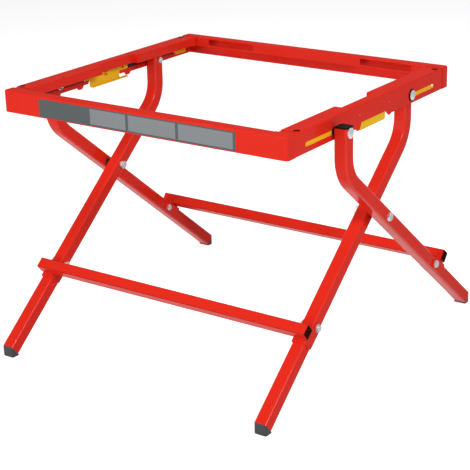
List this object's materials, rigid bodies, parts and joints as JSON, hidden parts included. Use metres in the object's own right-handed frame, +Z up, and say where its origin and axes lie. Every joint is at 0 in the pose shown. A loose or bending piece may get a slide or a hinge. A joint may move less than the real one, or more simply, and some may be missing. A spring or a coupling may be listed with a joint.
{
  "type": "folding saw stand",
  "caption": "Folding stand for a bench saw: a square sheet steel top frame on crossed square tube legs with crossbars, sliding top pins, lift-up yellow locks and rubber feet.",
  "frame": {"origin": "middle of the footprint of the standing stand, on the floor", "axes": "+X to the right seen from the front, +Y to the back, +Z up"},
  "size_m": [0.8176, 0.8284, 0.6],
  "materials": {
    "red_coat": "glossy red powder coat",
    "yellow_coat": "glossy yellow powder coat",
    "zinc_steel": "bright zinc plating",
    "spring_steel": "plain drawn wire",
    "foot_rubber": "dull dark grey rubber",
    "black_plastic": "smooth black plastic",
    "pale_plastic": "smooth natural nylon"
  },
  "bodies": {
    "top_frame": {"front_rail": "red_coat", "rear_rail": "red_coat", "right_side_rail": "red_coat", "left_side_rail": "red_coat", "latch_guide_studs": "zinc_steel", "right_latch_spring": "spring_steel", "left_latch_spring": "spring_steel"},
    "right_latch": {"right_latch_plate": "yellow_coat"},
    "left_latch": {"left_latch_plate": "yellow_coat"},
    "slide_pins": {"inner_pin_bolts": "zinc_steel", "inner_pin_washers": "black_plastic", "inner_pin_glides": "pale_plastic", "inner_pin_nuts": "zinc_steel"},
    "inner_legs": {"right_inner_leg": "red_coat", "left_inner_leg": "red_coat", "right_inner_foot": "foot_rubber", "left_inner_foot": "foot_rubber", "right_inner_plug": "black_plastic", "left_inner_plug": "black_plastic", "right_front_saddle": "red_coat", "left_front_saddle": "red_coat", "front_crossbar": "red_coat", "front_bar_bolts": "zinc_steel", "front_bar_nuts": "zinc_steel", "pivot_bushes": "zinc_steel"},
    "outer_legs": {"right_outer_leg": "red_coat", "left_outer_leg": "red_coat", "right_outer_foot": "foot_rubber", "left_outer_foot": "foot_rubber", "right_outer_plug": "black_plastic", "left_outer_plug": "black_plastic", "right_rear_saddle": "red_coat", "left_rear_saddle": "red_coat", "rear_crossbar": "red_coat", "rear_bar_bolts": "zinc_steel", "rear_bar_nuts": "zinc_steel", "pivot_bolts": "zinc_steel", "pivot_nuts": "zinc_steel", "outer_pin_bolts": "zinc_steel", "outer_pin_spacers": "black_plastic", "outer_pin_washers": "zinc_steel", "outer_pin_nuts": "zinc_steel"}
  },
  "joints": [
    {"name": "pin_slide", "type": "slide", "parent": "top_frame", "child": "slide_pins", "axis": [0, 1, 0], "range_m": [0, 0.103]},
    {"name": "fold", "type": "hinge", "parent": "slide_pins", "child": "inner_legs", "pos_m": [0, 0.162, 0.57], "axis": [-1, 0, 0], "range_deg": [0, 38]},
    {"name": "outer_legs_swing", "type": "hinge", "parent": "inner_legs", "child": "outer_legs", "pos_m": [0, 0, 0.347], "axis": [1, 0, 0], "range_deg": [0, 76.1]},
    {"name": "right_latch_lift", "type": "slide", "parent": "top_frame", "child": "right_latch", "axis": [0, 0, 1], "range_m": [0, 0.01], "stiffness_N_per_m": 300, "springref_m": -0.012, "deforming": ["right_latch_spring"]},
    {"name": "left_latch_lift", "type": "slide", "parent": "top_frame", "child": "left_latch", "axis": [0, 0, 1], "range_m": [0, 0.01], "stiffness_N_per_m": 300, "springref_m": -0.012, "deforming": ["left_latch_spring"]}
  ],
  "couplings": [
    {"joint": "pin_slide", "follows": "fold", "m_per_rad": 0.1552},
    {"joint": "outer_legs_swing", "follows": "fold", "ratio": 2}
  ]
}
